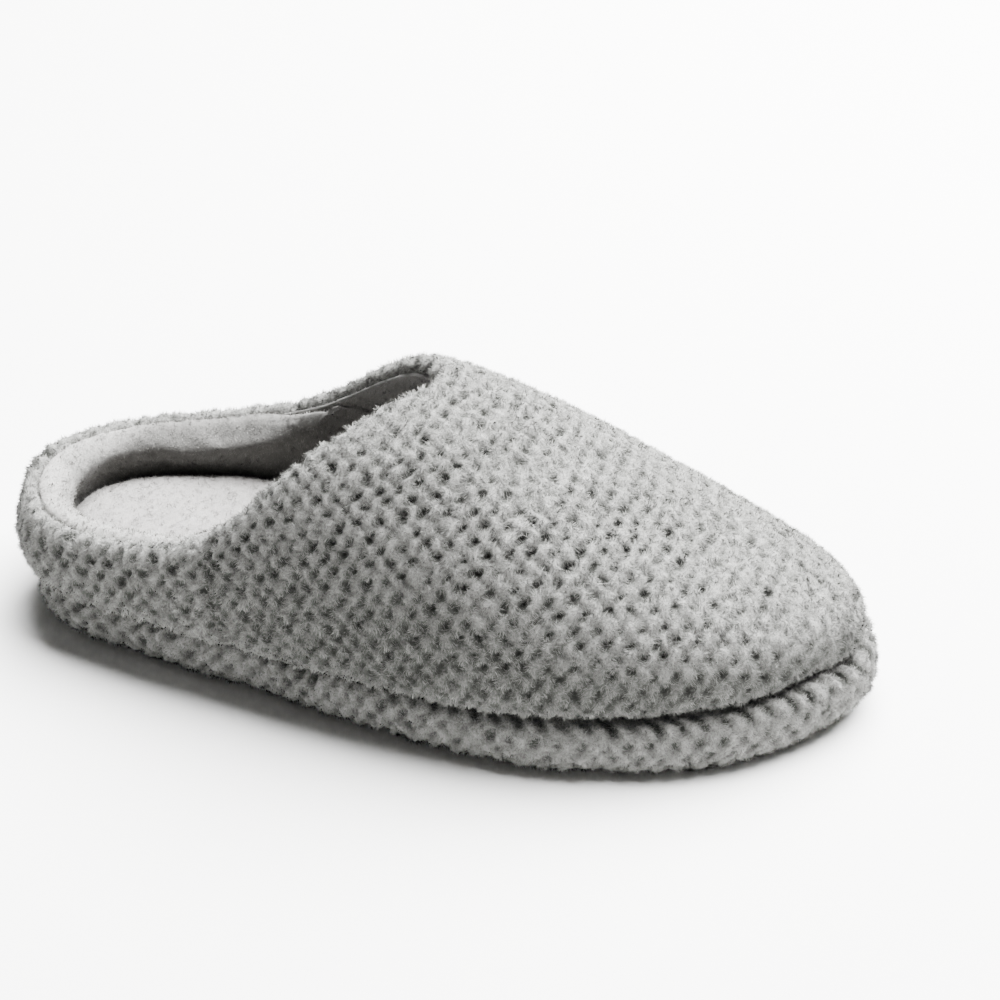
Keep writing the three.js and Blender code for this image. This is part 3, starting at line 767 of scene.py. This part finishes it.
class SLIPPER_OT_insole(SlipperOperator, bpy.types.Operator):
    """Plush pad on the sole."""
    bl_idname = "slipper.insole"
    bl_label = "Insole"

    def execute(self, context):
        plush = settings("plush")
        insole = node_copy("insole", "plush_insole")
        modify(insole, "SUBSURF", levels=1, render_levels=1)
        modify(insole, "REMESH", mode="VOXEL", voxel_size=plush.mesh_step * 1.6)
        puffed(insole, plush.puff)
        modify(insole, "SUBSURF", levels=1, render_levels=1)
        points, normals = places(insole), directions(insole)
        top = smooth(0.3, 0.9, normals[:, 2])
        lumps = wander(points, 16 * MM, 41) * 0.5 * MM + wander(points, 3.5 * MM, 42) * 0.12 * MM
        put(insole, points + normals * (lumps * top)[:, None])
        dress(insole, plush_material("insole plush", plush.insole, grain=0.8))
        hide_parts("insole")
        seen = top * (1 - 0.9 * smooth(0, 60 * MM, points[:, 0]))
        pile = grow_pile("insole_pile", insole, plush.blades, plush.pile * 0.6, 0.2 * MM, 15, density=seen)
        dress(pile, plush_pile(plush.insole, "insole pile", root=0.9))
        return {"FINISHED"}


def inside(face):
    """True for a face of the upper's inner wall."""
    centre = face.calc_center_median()
    core = Vector((min(max(centre.x, -0.09), 0.09), 0, 0.028))
    return face.normal.dot((centre - core).normalized()) < -0.35 and face.normal.z < 0.6


class SLIPPER_OT_lining(SlipperOperator, bpy.types.Operator):
    """Plush lining of the vamp, from the throat's edge to the toe."""
    bl_idname = "slipper.lining"
    bl_label = "Lining"

    def execute(self, context):
        plush = settings("plush")
        lining = node_copy("upper", "plush_lining")
        shell = bmesh.new()
        shell.from_mesh(lining.data)
        others = [face for face in shell.faces if not inside(face) or face.calc_center_median().x < -0.062]
        bmesh.ops.delete(shell, geom=others, context="FACES")
        shell.to_mesh(lining.data)
        shell.free()
        modify(lining, "SUBSURF", levels=2, render_levels=2)
        modify(lining, "SOLIDIFY", thickness=plush.cloth, offset=1)
        points, normals = places(lining), directions(lining)
        put(lining, points + normals * (wander(points, 9 * MM, 51) * 0.3 * MM)[:, None])
        # Painted shade over the whole lining, which lies inside the vamp
        painted_wall_shade = np.full(len(points), 0.8)
        mark(lining, "dark", painted_wall_shade)
        dress(lining, plush_material("lining plush", plush.collar))
        pile = grow_pile("lining_pile", lining, plush.blades, plush.pile, 0.25 * MM, 14, shade=painted_wall_shade,
                         density=1 - smooth(10 * MM, 60 * MM, places(lining)[:, 0]) * 0.95)
        dress(pile, plush_pile(plush.collar, "lining pile"))
        return {"FINISHED"}


class SLIPPER_OT_underside(SlipperOperator, bpy.types.Operator):
    """Non-slip cloth under the sole, with rows of small dots."""
    bl_idname = "slipper.underside"
    bl_label = "Underside"

    def execute(self, context):
        grip = settings("underside")
        cloth = node_copy("sole", "underside_cloth")
        shell = bmesh.new()
        shell.from_mesh(cloth.data)
        others = [face for face in shell.faces if face.normal.z > -0.7]
        bmesh.ops.delete(shell, geom=others, context="FACES")
        shell.to_mesh(cloth.data)
        shell.free()
        modify(cloth, "SUBSURF", levels=3, render_levels=3, subdivision_type="SIMPLE")
        points = places(cloth)
        points[:, :2] *= 1 - grip.margin / 0.1
        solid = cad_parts["sole"].data
        solid.calc_loop_triangles()
        corners = [v.co for v in solid.vertices]
        tree = BVHTree.FromPolygons(corners, [t.vertices for t in solid.loop_triangles])
        hits = [tree.ray_cast(Vector((x, y, -0.01)), Vector((0, 0, 1)))[0] for x, y, _ in points]
        points[:, 2] = np.array([hit.z for hit in hits]) + 0.35 * MM
        put(cloth, points)
        modify(cloth, "SOLIDIFY", thickness=0.7 * MM, offset=-1)
        dress(cloth, underside_material(grip))
        return {"FINISHED"}


class SLIPPER_OT_stage(SlipperOperator, bpy.types.Operator):
    """Pale floor and soft studio light."""
    bl_idname = "slipper.stage"
    bl_label = "Floor and light"

    def execute(self, context):
        stage = settings("stage")
        bpy.ops.object.select_all(action="DESELECT")
        bpy.ops.mesh.primitive_plane_add(size=12, location=(0, 0, 0))
        floor = context.object
        floor.name = "floor"
        material, _, shader = new_material("pale floor", Roughness=0.8)
        shader.inputs["Base Color"].default_value = rgba(stage.floor)
        floor.data.materials.append(material)
        world = bpy.data.worlds.new("studio")
        world.use_nodes = True
        world.node_tree.nodes["Background"].inputs["Color"].default_value = (1, 1, 1, 1)
        world.node_tree.nodes["Background"].inputs["Strength"].default_value = stage.world
        context.scene.world = world
        spot = Vector((0.25, 0.6, 1.15))
        bpy.ops.object.light_add(type="AREA", location=spot)
        lamp = context.object
        lamp.name = "key"
        lamp.data.energy = stage.key
        lamp.data.size = stage.key_size
        lamp.rotation_euler = spot.to_track_quat("Z", "Y").to_euler()
        return {"FINISHED"}


STEPS = (SLIPPER_OT_camera, SLIPPER_OT_sole, SLIPPER_OT_underside, SLIPPER_OT_upper, SLIPPER_OT_lining,
         SLIPPER_OT_insole, SLIPPER_OT_collar, SLIPPER_OT_stage)


class SLIPPER_PT_panel(bpy.types.Panel):
    """Lists the slipper's sizes, colours and steps."""
    bl_label = "Slipper"
    bl_idname = "SLIPPER_PT_panel"
    bl_space_type = "VIEW_3D"
    bl_region_type = "UI"
    bl_category = "Slipper"

    def draw(self, context):
        for group, kind in SETTINGS.items():
            box = self.layout.box()
            for name in kind.__annotations__:
                box.prop(settings(group), name)
        for step in STEPS:
            self.layout.operator(step.bl_idname)


def register():
    for group, kind in SETTINGS.items():
        bpy.utils.register_class(kind)
        setattr(bpy.types.Scene, "slipper_" + group, PointerProperty(type=kind))
    for kind in (*STEPS, SLIPPER_PT_panel):
        bpy.utils.register_class(kind)


def unregister():
    for kind in (SLIPPER_PT_panel, *reversed(STEPS)):
        bpy.utils.unregister_class(kind)
    for group, kind in SETTINGS.items():
        delattr(bpy.types.Scene, "slipper_" + group)
        bpy.utils.unregister_class(kind)


def main():
    register()
    for step in STEPS:
        group, name = step.bl_idname.split(".")
        getattr(getattr(bpy.ops, group), name)()


if __name__ == "__main__":
    main()
